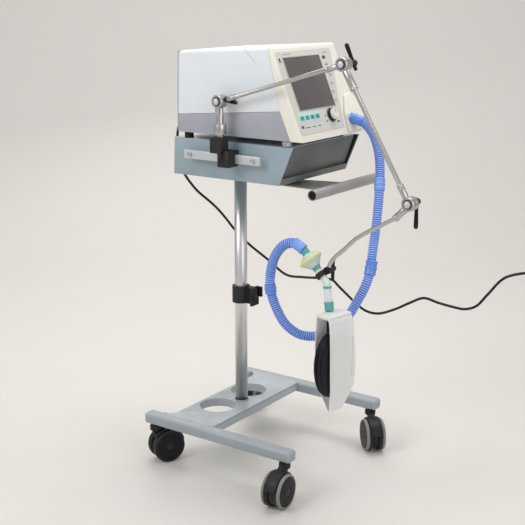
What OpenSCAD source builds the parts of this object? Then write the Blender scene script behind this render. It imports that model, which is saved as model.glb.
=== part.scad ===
/* [Trolley base] */
// Length of each base leg
leg_len = 530; // [500:5:560]
// Width of each base leg
leg_w = 40; // [36:1:44]
// Height of each base leg
leg_h = 34; // [30:1:36]
// Distance between the two leg centre lines
track = 484; // [470:2:490]
// Height of the underside of the legs above the floor
leg_z = 125; // [125:1:127]
// Radius of the two bottle holes in the cross plate
bottle_r = 56; // [50:1:58]
/* [Casters] */
// Outer radius of the twin wheels
wheel_r = 50; // [48:0.5:50]
// Width of one wheel of a pair
wheel_w = 22; // [20:0.5:22]
// Trail of the axle behind the swivel axis
trail = 35; // [33:0.5:36]
/* [Column] */
// Radius of the column tube
post_r = 19; // [18:0.5:19]
/* [Tray] */
// Width of the tray over its side plates
tray_w = 352; // [346:1:352]
// Height of the tray top above the floor
tray_top = 996; // [996:1:997]
// Height of the tray floor above the floor
tray_bot = 889; // [887:1:890]
/* [Ventilator] */
// Width of the ventilator housing
vent_w = 317; // [314:1:318]
// Wall thickness of the housing parts
wall = 3; // [2.5:0.1:3.2]
// Radius of the main control knob
knob_r = 17; // [14:0.5:18]
/* [Support arm] */
// Radius of the arm rods
rod_r = 6; // [5.5:0.1:6.2]
// Radius of the round joint heads
eye_r = 18; // [17:0.5:19]
/* [Breathing circuit] */
// Outer radius of the corrugated hose
hose_r = 14; // [13:0.5:14]
/* [Cord] */
// Outer radius of the mains cord
cord_r = 3.8; // [3.5:0.1:3.9]
/* [Hidden] */
$fn = 48;
base_x = 8.5;
post_x = -80;
deck_x0 = -176;
deck_z = 132;
deck_h = 26;
hole_x = -111;
hole_y = 81;
cy = track/2;
vy0 = -187;
vy1 = vy0 + vent_w;
slope = 0.42;
lean = -atan(slope);
ks = sqrt(1 + slope*slope);
arm_y = -225;
handle_x = 280;
handle_z = 872.5;
handle_r = 14.5;
P1 = [16, 1113];
P2 = [406, 1228];
P3 = [603, 896];
// start and direction of the connector chain below the hose
fs = [292.5, 735.5];
fang = 136.4;
function fax(s) = [fs[0]+s*sin(fang), fs[1]+s*cos(fang)];
// corners of the casters: stem x, stem y, swivel angle
casters = [[-229, -cy, 64], [246, -cy, 274], [246, cy, -45], [-229, cy, 105]];
// centre line of the breathing hose, from the machine to the filter
hose_pts = [[262,70,1055],[292,73,1047],[323,72,1020],[344,65,987],[361,52,948],[378,25,885],
 [391,-5,819],[399,-32,755],[407,-60,700],[410,-70,671],
 [407,-90,627],[394,-108,587],[374,-125,542],[337,-142,500],[297,-165,481],[260,-190,485],[225,-208,512],[197,-218,562],[184,-224,612],
 [188,-227,666],[207,-228,716],[238,-227,746],[268,-226,750],[288,-225,739]];
// centre line of the mains cord, from the inlet to the plug
cord_pts = [[-186,-110,1040],[-206,-110,1038],[-221,-112,1018],[-227,-114,975],[-220,-115,925],[-204,-112,878],[-189,-98,846],[-178,-80,821],
 [-161,-58,796],[-146,-35,770],[-132,-10,737],[-117,15,699],[-87,45,652],[-29,70,603],[33,80,562],[88,88,561],[143,95,565],[186,98,565],[208,100,548],[257,105,510],
 [294,108,487],[333,115,482],[385,125,502],[427,132,526],[469,140,546],[512,145,538],[556,150,532],[590,155,530],[622,160,543],[652,165,580],[697,170,634],[754,175,656],[775,176,659]];

function unit(v) = v/norm(v);
function ahead(p,i) = unit((i < len(p)-1 ? p[i+1] : p[i]) - (i > 0 ? p[i-1] : p[i]));
function ring(c,t,r,n) = let(u = unit(cross(t,[0,1,0])), v = cross(t,u))
  [for (k=[0:n-1]) c + r*cos(360*k/n)*u + r*sin(360*k/n)*v];
// a tube swept along the route p from point a to point b
module tube(p,a,b,r,n,g=0) {
  m = b-a+1;
  pts = [for (i=[a:b]) each ring(p[i]+(i==a?g:0)*ahead(p,i),ahead(p,i),r,n)];
  faces = concat([[for (k=[0:n-1]) k]],
    [for (i=[0:m-2]) for (k=[0:n-1]) [i*n+k, (i+1)*n+k, (i+1)*n+(k+1)%n, i*n+(k+1)%n]],
    [[for (k=[n-1:-1:0]) (m-1)*n+k]]);
  polyhedron(points=pts, faces=faces, convexity=6);
}
// box with round vertical edges
module rbox(x0,x1,y0,y1,z0,z1,r) {
  translate([x0+r,y0,z0]) cube([x1-x0-2*r,y1-y0,z1-z0]);
  translate([x0,y0+r,z0]) cube([x1-x0,y1-y0-2*r,z1-z0]);
  for (x=[x0+r,x1-r], y=[y0+r,y1-r]) translate([x,y,z0]) cylinder(r=r,h=z1-z0);
}
module box(x0,x1,y0,y1,z0,z1) translate([x0,y0,z0]) cube([x1-x0,y1-y0,z1-z0]);
// profile in X and Z, stretched from y0 to y1
module side(pts,y0,y1) translate([0,y1,0]) rotate([90,0,0]) linear_extrude(y1-y0) polygon(pts);
// cylinder along Y
module ycyl(x,z,y0,y1,r) translate([x,y1,z]) rotate([90,0,0]) cylinder(r=r,h=y1-y0);
// frame of the sloping front: x out of the face, y across, z up the slope
module face() translate([262,0,1014]) rotate([0,lean,0]) children();

module leg(y) color("slategray") difference() {
  rbox(base_x-leg_len/2,base_x+leg_len/2,y-leg_w/2,y+leg_w/2,leg_z,leg_z+leg_h,10);
  for (x=[-229,246]) translate([x,y,leg_z-1]) cylinder(r=6.1,h=27);
}
// deck between the legs: folded sheet with a rim, open below, with a sleeve round each bottle hole
module deck_outline(d=0) {
  w = cy-leg_w/2;
  difference() {
    translate([deck_x0-30+d,-w+d]) square([-18-deck_x0+30-2*d,2*w-2*d]);
    for (s=[-1,1]) translate([deck_x0-30,s*(w-30)]) circle(r=30+d);
    translate([deck_x0-31,-(w-30)]) square([31+d,2*(w-30)]);
  }
}
module cross_plate() color("slategray") difference() {
  union() {
    difference() {
      translate([0,0,deck_z]) linear_extrude(deck_h) deck_outline();
      translate([0,0,deck_z-1]) linear_extrude(deck_h-2) deck_outline(3);
    }
    for (y=[-hole_y,hole_y]) translate([hole_x,y,deck_z]) cylinder(r=bottle_r+2.5,h=deck_h-1,$fn=96);
    translate([post_x,0,deck_z]) cylinder(r=24,h=deck_h-1);
  }
  for (y=[-hole_y,hole_y]) translate([hole_x,y,deck_z-5]) cylinder(r=bottle_r,h=deck_h+10,$fn=96);
}
module post_flange() color("slategray") difference() {
  translate([post_x,0,deck_z+deck_h]) cylinder(r1=23,r2=20.5,h=4);
  translate([post_x,0,150]) cylinder(r=post_r+0.05,h=40);
}
module post() color("silver") difference() {
  translate([post_x,0,deck_z+deck_h]) cylinder(r=post_r,h=tray_bot-deck_z-deck_h);
  translate([post_x,0,150]) cylinder(r=post_r-2,h=tray_bot-100);
}
module post_clip() color("black") difference() {
  union() {
    translate([post_x,0,478]) cylinder(r=27,h=52);
    box(post_x,-34,-15,15,480,528);
    box(-34,-26,-18,18,474,531);
    box(-26,-12,-18,-12,500,531);
    box(-26,-12,12,18,500,531);
  }
  translate([post_x,0,470]) cylinder(r=post_r+0.05,h=70);
}
module tray_shell() color("lightslategray") {
  for (y=[-tray_w/2,tray_w/2-2]) side([[-190,tray_bot],[178,tray_bot],[223,tray_top],[-185,tray_top]],y,y+2);
  box(-189,176,-tray_w/2+1,tray_w/2-1,tray_bot,tray_bot+2);
  box(-184,208,-tray_w/2+1,tray_w/2-1,tray_top-2,tray_top);
  side([[-189,tray_bot],[-187,tray_bot],[-182,tray_top],[-184,tray_top]],-tray_w/2+1,tray_w/2-1);
  side([[174,tray_bot],[177,tray_bot],[184.6,tray_bot+18],[181.6,tray_bot+18]],-tray_w/2+1,tray_w/2-1);
}
module tray_front_panel() color("dimgray")
  side([[166,tray_bot+2.1],[169,tray_bot+2.1],[207,tray_top-2.1],[204,tray_top-2.1]],-tray_w/2+2.1,tray_w/2-2.1);
module equipment_rail() color("silver") difference() {
  box(-130,133,-204,-194,942,967);
  for (x=[-108,111]) ycyl(x,954.5,-210,-190,3.3);
}
module rail_screws() color("silver") for (x=[-108,111]) {
  ycyl(x,954.5,-193.9,-tray_w/2,8);
  ycyl(x,954.5,-206.5,-193.9,3.2);
  ycyl(x,954.5,-209,-204.1,6);
}
module handle_bracket() color("darkgray") difference() {
  union() {
    translate([0,0,872]) linear_extrude(4) polygon([[90,-80],[140,-91],[279,-94],[279,47],[140,12],[90,5]]);
    box(90,140,-70,-6,875,tray_bot);
  }
  ycyl(handle_x,handle_z,-110,84,handle_r+0.05);
}
module handle_tube() color("gray") difference() {
  ycyl(handle_x,handle_z,-168,168,handle_r);
  ycyl(handle_x,handle_z,-180,-80,handle_r-2);
  ycyl(handle_x,handle_z,80,180,handle_r-2);
}
module lower_chassis() color("darkgray") difference() {
  side([[-160.9,1014],[221,1014],[187,1092],[-160.9,1064]],vy0,vy1);
  side([[-157,1014+wall],[250,1014+wall],[250,1120],[-157,1120]],vy0+wall,vy1-wall);
}
module top_cover() color("white") difference() {
  side([[-160.9,1064.2],[187,1092.2],[147,1259],[-156,1241]],vy0,vy1);
  side([[-200,1020],[220,1020],[220,1259-wall-12],[147,1259-wall],[-200,1241-wall-3]],vy0+wall,vy1-wall);
}
module rear_panel() color("gainsboro") difference() {
  side([[-164,1014],[-161.1,1014],[-161.1,1064],[-156.3,1241],[-159.3,1241],[-164,1064]],vy0+0.2,vy1-0.2);
  translate([-170,-110,1040]) rotate([0,90,0]) cylinder(r=8.05,h=20);
  for (k=[0:5]) box(-170,-150,20,90,1110+k*9,1114+k*9);
}
module front_bezel() color("wheat") difference() {
  side([[221.2,1014],[262,1014],[159.1,1259],[147.2,1259],[187.2,1092]],vy0,vy1);
  side([[100,1018],[255.5,1018],[158,1250],[100,1250]],vy0+4,vy1-4);
  face() {
    box(-9,10,-155.2,26.2,85.4,234.2);
    for (k=[0:3]) box(-9,10,-164.4+k*25,-145.6+k*25,58.6,71.4);
    translate([-12,-10,60.7]) rotate([0,90,0]) cylinder(r=3.1,h=30);
  }
}
module keypad_panel() color("beige") face() difference() {
  translate([0.1,0,0]) rotate([90,0,90]) linear_extrude(1.2) polygon([[-182,20],[38,20],[60,120],[98,252],[-181,252]]);
  box(-1,4,-154.8,25.8,85.8,233.8);
  for (k=[0:3]) box(-1,4,-164.4+k*25,-145.6+k*25,58.6,71.4);
  translate([-2,-10,60.7]) rotate([0,90,0]) cylinder(r=4,h=10);
}
module display_glass() color("dimgray") face() {
  box(-4,0.7,-154.5,25.5,86.1,233.5);
}
module feet() color("black") for (x=[-140,195], y=[-165,105])
  translate([x,y,tray_top]) cylinder(r=13,h=18);
module main_board() color("green") { box(-120,40,95,97,1060,1200); box(-90,-60,85,94.9,1090,1120); box(-20,10,85,94.9,1130,1170); }
module power_supply() color("silver") box(-150,-40,-170,-60,1017.1,1090);
module battery() color("gray") box(-20,90,-170,-80,1017.1,1075);
module blower_housing() color("lightgray") difference() {
  translate([50,20,1017.1]) cylinder(r=48,h=56);
  translate([50,20,1021]) cylinder(r=44,h=48);
  translate([50,20,1060]) cylinder(r=18,h=20);
  translate([50,20,1010]) cylinder(r=4.1,h=20);
}
module blower_rotor() color("white") {
  translate([50,20,1018]) cylinder(r=4,h=40);
  translate([50,20,1026]) cylinder(r=36,h=3);
  for (k=[0:7]) translate([50,20,1028]) rotate([0,0,45*k]) translate([14,-1,0]) cube([20,2,26]);
  translate([50,20,1026]) cylinder(r=10,h=30);
}
module port_housing() color("wheat") difference() {
  face() translate([0,0,0]) rotate([90,0,90]) linear_extrude(9) polygon([[48,4],[146,4],[150,46],[138,96],[112,118],[84,110],[56,60]]);
  translate([230,70,1056]) rotate([0,90,0]) cylinder(r=9.05,h=60);
}
module patient_port() color("white") difference() {
  translate([249,70,1056]) rotate([0,90,0]) cylinder(r=9,h=13);
  translate([240,70,1056]) rotate([0,90,0]) cylinder(r=7.5,h=40);
}
module knob_shaft() color("silver") face() translate([-14,-10,60.7]) rotate([0,90,0]) cylinder(r=3,h=28);
module knob_cap() color("ivory") face() translate([3.2,-10,60.7]) rotate([0,90,0]) difference() {
  union() { cylinder(r=knob_r,h=9); cylinder(r=knob_r-3,h=16); }
  translate([0,0,-1]) cylinder(r=3.04,h=13);
}
module key(k) color("teal") face() {
  box(-5.5,2.4,-164+k*25,-146+k*25,59,71);
  box(-6.6,-4.9,-166+k*25,-144+k*25,57,73);
}
module rail_clamp() color("black") difference() {
  union() {
    box(-6,31,-243,-207,972,1013);
    box(14,51,-236,-204.2,934,980);
    box(14,51,-206,-186,967.2,978);
    box(14,51,-206,-190,934,941.8);
  }
  translate([16,arm_y,978]) cylinder(r=8.1,h=60);
}
module rod(a,b,y,r) let(d=b-a) translate([a[0],y,a[1]]) rotate([0,-atan2(d[1],d[0]),0]) rotate([0,90,0]) cylinder(r=r,h=norm(d));
module along(a,b,y) let(d=b-a) translate([a[0],y,a[1]]) rotate([0,-atan2(d[1],d[0]),0]) rotate([0,90,0]) children();
module arm_post() color("silver") {
  translate([16,arm_y,980]) cylinder(r=8,h=115);
  translate([16,arm_y,1013.4]) cylinder(r=10,h=12);
  translate([16,arm_y,1024]) cylinder(r=17,h=27);
  translate([16,arm_y,1050]) cylinder(r=10,h=44);
  box(9,23,-238,-225.3,1080,1110);
  ycyl(P1[0],P1[1],-238.3,-225.2,eye_r);
  ycyl(P1[0],P1[1],-238.3,-199.5,6);
}
module arm_link_1() color("silver") difference() {
  union() {
    ycyl(P1[0],P1[1],-224.8,-211.7,eye_r);
    ycyl(P2[0],P2[1],-224.8,-211.7,eye_r);
    rod(P1,P2,-218.2,rod_r);
    along(P1,P2,-218.2) { translate([0,0,19]) cylinder(r=7.5,h=31); translate([0,0,norm(P2-P1)-57]) cylinder(r=8,h=38); }
  }
  ycyl(P1[0],P1[1],-240,-190,6.1);
  ycyl(P2[0],P2[1],-240,-190,6.1);
}
module arm_link_2() color("silver") {
  ycyl(P2[0],P2[1],-238.3,-225.2,eye_r);
  ycyl(P3[0],P3[1],-238.3,-225.2,eye_r);
  rod(P2,P3,-231.8,rod_r);
  along(P2,P3,-231.8) { translate([0,0,19]) cylinder(r=9.5,h=51); translate([0,0,norm(P3-P2)-52]) cylinder(r=8.5,h=33); }
  ycyl(P2[0],P2[1],-238.3,-174,6);
  ycyl(P3[0],P3[1],-238.3,-185,6);
}
bend = [[603,896],[560,853],[521,831],[448,786],[412,752],[385,728],[369,705],[365,690]];
module arm_link_3() color("silver") difference() {
  union() {
    ycyl(P3[0],P3[1],-224.8,-211.7,eye_r);
    for (i=[0:6]) { rod(bend[i],bend[i+1],-218.2,5.5); if (i>0) translate([bend[i][0],-218.2,bend[i][1]]) sphere(r=6.2); }
    along(bend[0],bend[1],-218.2) translate([0,0,21]) cylinder(r=9,h=40);
  }
  ycyl(P3[0],P3[1],-240,-190,6.1);
}
module hose_holder() color("black") difference() {
  union() {
    ycyl(365,690,-228,-206,10);
    ycyl(365,690,-212,-193,5);
    translate([fax(74)[0],-225,fax(74)[1]]) rotate([0,fang,0]) cylinder(r=16,h=14);
  }
  translate([fax(60)[0],-225,fax(60)[1]]) rotate([0,fang,0]) cylinder(r=11.1,h=70);
  rod(bend[6],bend[7],-218.2,5.55);
}
// wing lever on a pin along Y: pin at x,z; hub y0 to y1; bar from the pin towards angle a
module lever(x,z,y0,y1,a,l,back) color("black") difference() {
  union() {
    ycyl(x,z,y0,y1,8);
    translate([x,(y0+y1)/2+2,z]) rotate([0,-a,0]) {
      translate([-back,0,0]) rotate([0,90,0]) cylinder(r=5,h=l+back);
      translate([l,0,0]) sphere(r=5.8);
      translate([-back,0,0]) sphere(r=5);
    }
  }
  ycyl(x,z,y0-1,y1-3,6.1);
}
module caster_fork(c) color("black") translate([c[0],c[1],0]) rotate([0,0,c[2]]) {
  translate([0,0,105]) cylinder(r=6,h=45);
  translate([0,0,103]) cylinder(r=17,h=21.5);
  side([[-15,104],[-10,120],[12,122],[44,96],[trail+20,30],[trail-18,28],[4,84]],-8,8);
  ycyl(trail,50,-8,8,44);
  ycyl(trail,50,-31,31,6);
}
module wheel_solid(y0,s) translate([trail,y0,50]) rotate([s*90,0,0]) rotate_extrude($fn=64)
  polygon([[6.1,0],[18,0],[22,2],[40,2],[43,0],[46,0],[49,2.5],[wheel_r,6],[wheel_r,wheel_w-6],[49,wheel_w-2.5],[46,wheel_w],[41,wheel_w],[38,wheel_w-4],[20,wheel_w-4],[16,wheel_w],[6.1,wheel_w]]);
module caster_wheels(c) color("dimgray") translate([c[0],c[1],0]) rotate([0,0,c[2]]) {
  wheel_solid(-8.6,1);
  wheel_solid(8.6,-1);
}
module filter() color("khaki") translate([fs[0],-225,fs[1]]) rotate([0,fang,0]) rotate_extrude()
  polygon([[0,0],[11,0],[12,14],[15,15],[30,26],[33,28],[33,36],[30,38],[14,56],[11,60],[11,66],[0,66]]);
module lung_connector() color("teal") {
  translate([fax(66.2)[0],-225,fax(66.2)[1]]) rotate([0,fang,0]) cylinder(r=10.9,h=39.8);
  translate([fax(106)[0],-225,fax(106)[1]]) sphere(r=11);
  translate([fax(106)[0],-225,fax(106)[1]]) rotate([0,173,0]) cylinder(r=10.8,h=55);
  translate([fax(106)[0],-225,fax(106)[1]]) rotate([0,173,0]) translate([0,0,53]) cylinder(r=13,h=22.5);
}
lung_c = [388,-224,0];
module lung_place() translate(lung_c) rotate([0,0,-13]) children();
module test_lung_frame() color("white") lung_place() difference() {
  union() {
    intersection() {
      union() {
        side([[14,578],[29,566],[34,505],[35,430],[31,375],[4,300],[1,300],[1,306],[28.3,375],[32.4,430],[31.4,505],[26.4,564],[14,570]],-60,60);
        side([[-14,578],[-25,566],[-28.5,505],[-29,430],[-25.5,375],[-4,300],[-1,300],[-1,306],[-22.8,375],[-26.4,430],[-25.9,505],[-22.4,564],[-14,570]],-60,60);
      }
      translate([-50,0,0]) rotate([90,0,90]) linear_extrude(100) polygon([[-43,600],[-43,440],[-38,378],[-14,300],[34,300],[49,345],[53,385],[53,440],[49,505],[43,570],[43,600]]);
    }
    box(-2,2,-12,30,300,306);
    box(-24.8,25,-43,43,568,578);
    translate([-11.5,-3.7,578]) cylinder(r=15,h=2.6);
  }
  translate([-11.5,-3.7,560]) cylinder(r=8.1,h=40);
}
module test_lung_bag() color("black") lung_place() {
  translate([2.5,0.5,437]) scale([0.475,1.3,1.64]) sphere(r=56,$fn=28);
  translate([-11.5,-3.7,505]) cylinder(r=8,h=74);
}
module mains_plug() color("black") translate([775,176,659]) {
  rotate([0,90,0]) cylinder(r=9,h=14);
  box(14,50,-17,17,-12,12);
  for (y=[-9.5,9.5]) translate([50,y,0]) rotate([0,90,0]) cylinder(r=2.4,h=19);
}
module inlet() translate([-161.2,-110,1040]) rotate([0,-90,0]) cylinder(r=8,h=24.8);

leg(-cy);  // left_leg
leg(cy);  // right_leg
cross_plate();
post_flange();
post();
post_clip();
tray_shell();
tray_front_panel();
equipment_rail();
rail_screws();
handle_bracket();
handle_tube();
lower_chassis();
top_cover();
front_bezel();
keypad_panel();
display_glass();
union() { rear_panel(); color("black") inlet(); }
feet();
main_board();
power_supply();
battery();
blower_housing();
blower_rotor();
port_housing();
patient_port();
knob_shaft();
knob_cap();
key(0);  // key_1
key(1);  // key_2
key(2);  // key_3
key(3);  // key_4
rail_clamp();
arm_post();
arm_link_1();
arm_link_2();
arm_link_3();
hose_holder();
lever(P1[0],P1[1],-211.3,-196,-5,36,4);  // lever_1
lever(P2[0],P2[1],-192,-170,115,48,20);  // lever_2
lever(P3[0],P3[1],-203,-182,-90,64,10);  // lever_3
lever(365,690,-205,-189,90,22,34);  // lever_tip
caster_fork(casters[0]);  // caster_fork_rear_left
caster_wheels(casters[0]);  // caster_wheels_rear_left
caster_fork(casters[1]);  // caster_fork_front_left
caster_wheels(casters[1]);  // caster_wheels_front_left
caster_fork(casters[2]);  // caster_fork_front_right
caster_wheels(casters[2]);  // caster_wheels_front_right
caster_fork(casters[3]);  // caster_fork_rear_right
caster_wheels(casters[3]);  // caster_wheels_rear_right
color("cornflowerblue") tube(hose_pts,0,5,hose_r,12);  // hose_1
color("cornflowerblue") tube(hose_pts,5,9,hose_r,12,0.35);  // hose_2
color("cornflowerblue") tube(hose_pts,9,18,hose_r,12,0.35);  // hose_3
color("cornflowerblue") tube(hose_pts,18,23,hose_r,12,0.35);  // hose_4
filter();
lung_connector();
test_lung_frame();
test_lung_bag();
color("black") tube(cord_pts,0,32,cord_r,8);  // power_cord
mains_plug();
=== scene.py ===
import bpy, bmesh, math, random
from mathutils import Vector, Matrix, Quaternion


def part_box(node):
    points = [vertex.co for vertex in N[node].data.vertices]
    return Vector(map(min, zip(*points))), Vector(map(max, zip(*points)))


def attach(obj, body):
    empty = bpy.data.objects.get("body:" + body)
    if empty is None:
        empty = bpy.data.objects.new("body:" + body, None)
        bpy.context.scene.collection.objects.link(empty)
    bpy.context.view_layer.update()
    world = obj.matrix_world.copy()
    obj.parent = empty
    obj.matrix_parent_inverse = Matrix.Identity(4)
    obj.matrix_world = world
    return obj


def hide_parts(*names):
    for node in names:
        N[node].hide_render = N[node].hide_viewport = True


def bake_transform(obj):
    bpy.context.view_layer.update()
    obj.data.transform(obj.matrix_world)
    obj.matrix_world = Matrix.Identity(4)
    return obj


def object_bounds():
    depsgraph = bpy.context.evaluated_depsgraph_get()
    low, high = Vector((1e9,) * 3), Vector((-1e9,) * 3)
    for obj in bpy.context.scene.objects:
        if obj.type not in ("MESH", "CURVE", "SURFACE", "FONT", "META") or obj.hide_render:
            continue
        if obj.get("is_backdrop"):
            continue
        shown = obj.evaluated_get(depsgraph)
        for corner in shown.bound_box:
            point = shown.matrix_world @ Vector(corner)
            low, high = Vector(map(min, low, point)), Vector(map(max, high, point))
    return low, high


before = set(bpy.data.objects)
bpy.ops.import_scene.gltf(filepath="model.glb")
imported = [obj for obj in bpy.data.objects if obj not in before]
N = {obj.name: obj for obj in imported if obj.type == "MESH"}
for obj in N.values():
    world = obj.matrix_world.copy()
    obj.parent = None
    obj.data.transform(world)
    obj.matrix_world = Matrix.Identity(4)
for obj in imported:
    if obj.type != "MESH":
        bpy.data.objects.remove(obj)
CAD_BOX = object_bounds()
scene = bpy.context.scene
random.seed(4)
V = Vector
MM = 0.001

# ------------------------------------------------------------------ camera
yaw, pitch = 0.612, 0.249
fwd = V((-math.sin(yaw) * math.cos(pitch), math.cos(yaw) * math.cos(pitch), -math.sin(pitch)))
cam_data = bpy.data.cameras.new("cam")
cam_data.sensor_width = 36
cam_data.lens = 1097 / 525 * 36
cam_data.clip_end = 50
cam = bpy.data.objects.new("cam", cam_data)
cam.location = (1.8313, -2.6090, 1.4227)
cam.rotation_euler = fwd.to_track_quat("-Z", "Y").to_euler()
scene.collection.objects.link(cam)
scene.camera = cam

# ------------------------------------------------------------------ materials
def mat(name, col, rough=0.5, metal=0.0, var=0.06, vs=9.0, bump=0.15, bs=420.0, rvar=0.1, edge=0.0, spec=0.5,
        coat=0.0, stretch=(1, 1, 1), trans=0.0, alpha=1.0, sss=0.0, dust=0.0, bd=0.0003, ior=1.45, sheen=0.0, scratch=0.0):
    m = bpy.data.materials.new(name)
    m.use_nodes = True
    nt = m.node_tree
    b = nt.nodes["Principled BSDF"]
    L = nt.links.new
    tc = nt.nodes.new("ShaderNodeTexCoord")
    mp = nt.nodes.new("ShaderNodeMapping")
    mp.inputs["Scale"].default_value = stretch
    L(tc.outputs["Object"], mp.inputs["Vector"])
    n1 = nt.nodes.new("ShaderNodeTexNoise")
    n1.inputs["Scale"].default_value = vs
    n1.inputs["Detail"].default_value = 6
    L(mp.outputs[0], n1.inputs["Vector"])
    mx = nt.nodes.new("ShaderNodeMix")
    mx.data_type = "RGBA"
    c = [min(1, x) for x in col]
    mx.inputs[6].default_value = [max(0, x * (1 - var)) for x in c] + [1]
    mx.inputs[7].default_value = [min(1, x * (1 + var) + 0.004) for x in c] + [1]
    L(n1.outputs["Fac"], mx.inputs[0])
    out = mx.outputs[2]
    if edge > 0:
        g = nt.nodes.new("ShaderNodeNewGeometry")
        r = nt.nodes.new("ShaderNodeMapRange")
        r.inputs[1].default_value = 0.53
        r.inputs[2].default_value = 0.55
        L(g.outputs["Pointiness"], r.inputs[0])
        mu = nt.nodes.new("ShaderNodeMath")
        mu.operation = "MULTIPLY"
        mu.inputs[1].default_value = edge
        L(r.outputs[0], mu.inputs[0])
        mu2 = nt.nodes.new("ShaderNodeMath")
        mu2.operation = "MULTIPLY"
        L(mu.outputs[0], mu2.inputs[0])
        L(n1.outputs["Fac"], mu2.inputs[1])
        m2 = nt.nodes.new("ShaderNodeMix")
        m2.data_type = "RGBA"
        L(mu2.outputs[0], m2.inputs[0])
        L(out, m2.inputs[6])
        m2.inputs[7].default_value = [min(1, x * 1.7 + 0.12) for x in c] + [1]
        out = m2.outputs[2]
    if dust > 0:
        g = nt.nodes.new("ShaderNodeNewGeometry")
        sx = nt.nodes.new("ShaderNodeSeparateXYZ")
        L(g.outputs["Normal"], sx.inputs[0])
        r = nt.nodes.new("ShaderNodeMapRange")
        r.inputs[1].default_value = 0.5
        r.inputs[2].default_value = 1.0
        r.inputs[4].default_value = dust
        L(sx.outputs["Z"], r.inputs[0])
        n3 = nt.nodes.new("ShaderNodeTexNoise")
        n3.inputs["Scale"].default_value = 40
        n3.inputs["Detail"].default_value = 8
        L(tc.outputs["Object"], n3.inputs["Vector"])
        mu = nt.nodes.new("ShaderNodeMath")
        mu.operation = "MULTIPLY"
        L(r.outputs[0], mu.inputs[0])
        L(n3.outputs["Fac"], mu.inputs[1])
        m3 = nt.nodes.new("ShaderNodeMix")
        m3.data_type = "RGBA"
        L(mu.outputs[0], m3.inputs[0])
        L(out, m3.inputs[6])
        m3.inputs[7].default_value = (0.55, 0.54, 0.5, 1)
        out = m3.outputs[2]
    L(out, b.inputs["Base Color"])
    n2 = nt.nodes.new("ShaderNodeTexNoise")
    n2.inputs["Scale"].default_value = vs * 3.3
    n2.inputs["Detail"].default_value = 8
    L(mp.outputs[0], n2.inputs["Vector"])
    rr = nt.nodes.new("ShaderNodeMapRange")
    rr.inputs[1].default_value = 0.3
    rr.inputs[2].default_value = 0.7
    rr.inputs[3].default_value = max(0.02, rough - rvar)
    rr.inputs[4].default_value = min(1, rough + rvar)
    L(n2.outputs["Fac"], rr.inputs[0])
    L(rr.outputs[0], b.inputs["Roughness"])
    if bump > 0:
        n4 = nt.nodes.new("ShaderNodeTexNoise")
        n4.inputs["Scale"].default_value = bs
        n4.inputs["Detail"].default_value = 4
        L(mp.outputs[0], n4.inputs["Vector"])
        h = n4.outputs["Fac"]
        if scratch > 0:
            w = nt.nodes.new("ShaderNodeTexVoronoi")
            w.feature = "DISTANCE_TO_EDGE"
            w.inputs["Scale"].default_value = bs * 0.12
            L(mp.outputs[0], w.inputs["Vector"])
            cr = nt.nodes.new("ShaderNodeMapRange")
            cr.inputs[1].default_value = 0.0
            cr.inputs[2].default_value = 0.02
            cr.inputs[3].default_value = -scratch
            cr.inputs[4].default_value = 0.0
            L(w.outputs["Distance"], cr.inputs[0])
            ad = nt.nodes.new("ShaderNodeMath")
            L(h, ad.inputs[0])
            L(cr.outputs[0], ad.inputs[1])
            h = ad.outputs[0]
        bp = nt.nodes.new("ShaderNodeBump")
        bp.inputs["Strength"].default_value = bump
        bp.inputs["Distance"].default_value = bd
        L(h, bp.inputs["Height"])
        L(bp.outputs[0], b.inputs["Normal"])
    b.inputs["Metallic"].default_value = metal
    b.inputs["Specular IOR Level"].default_value = spec
    b.inputs["IOR"].default_value = ior
    b.inputs["Coat Weight"].default_value = coat
    b.inputs["Coat Roughness"].default_value = 0.12
    if trans:
        b.inputs["Transmission Weight"].default_value = trans
    if sss:
        b.inputs["Subsurface Weight"].default_value = sss
        b.inputs["Subsurface Radius"].default_value = (0.01, 0.01, 0.01)
    if alpha < 1:
        b.inputs["Alpha"].default_value = alpha
    return m

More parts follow.
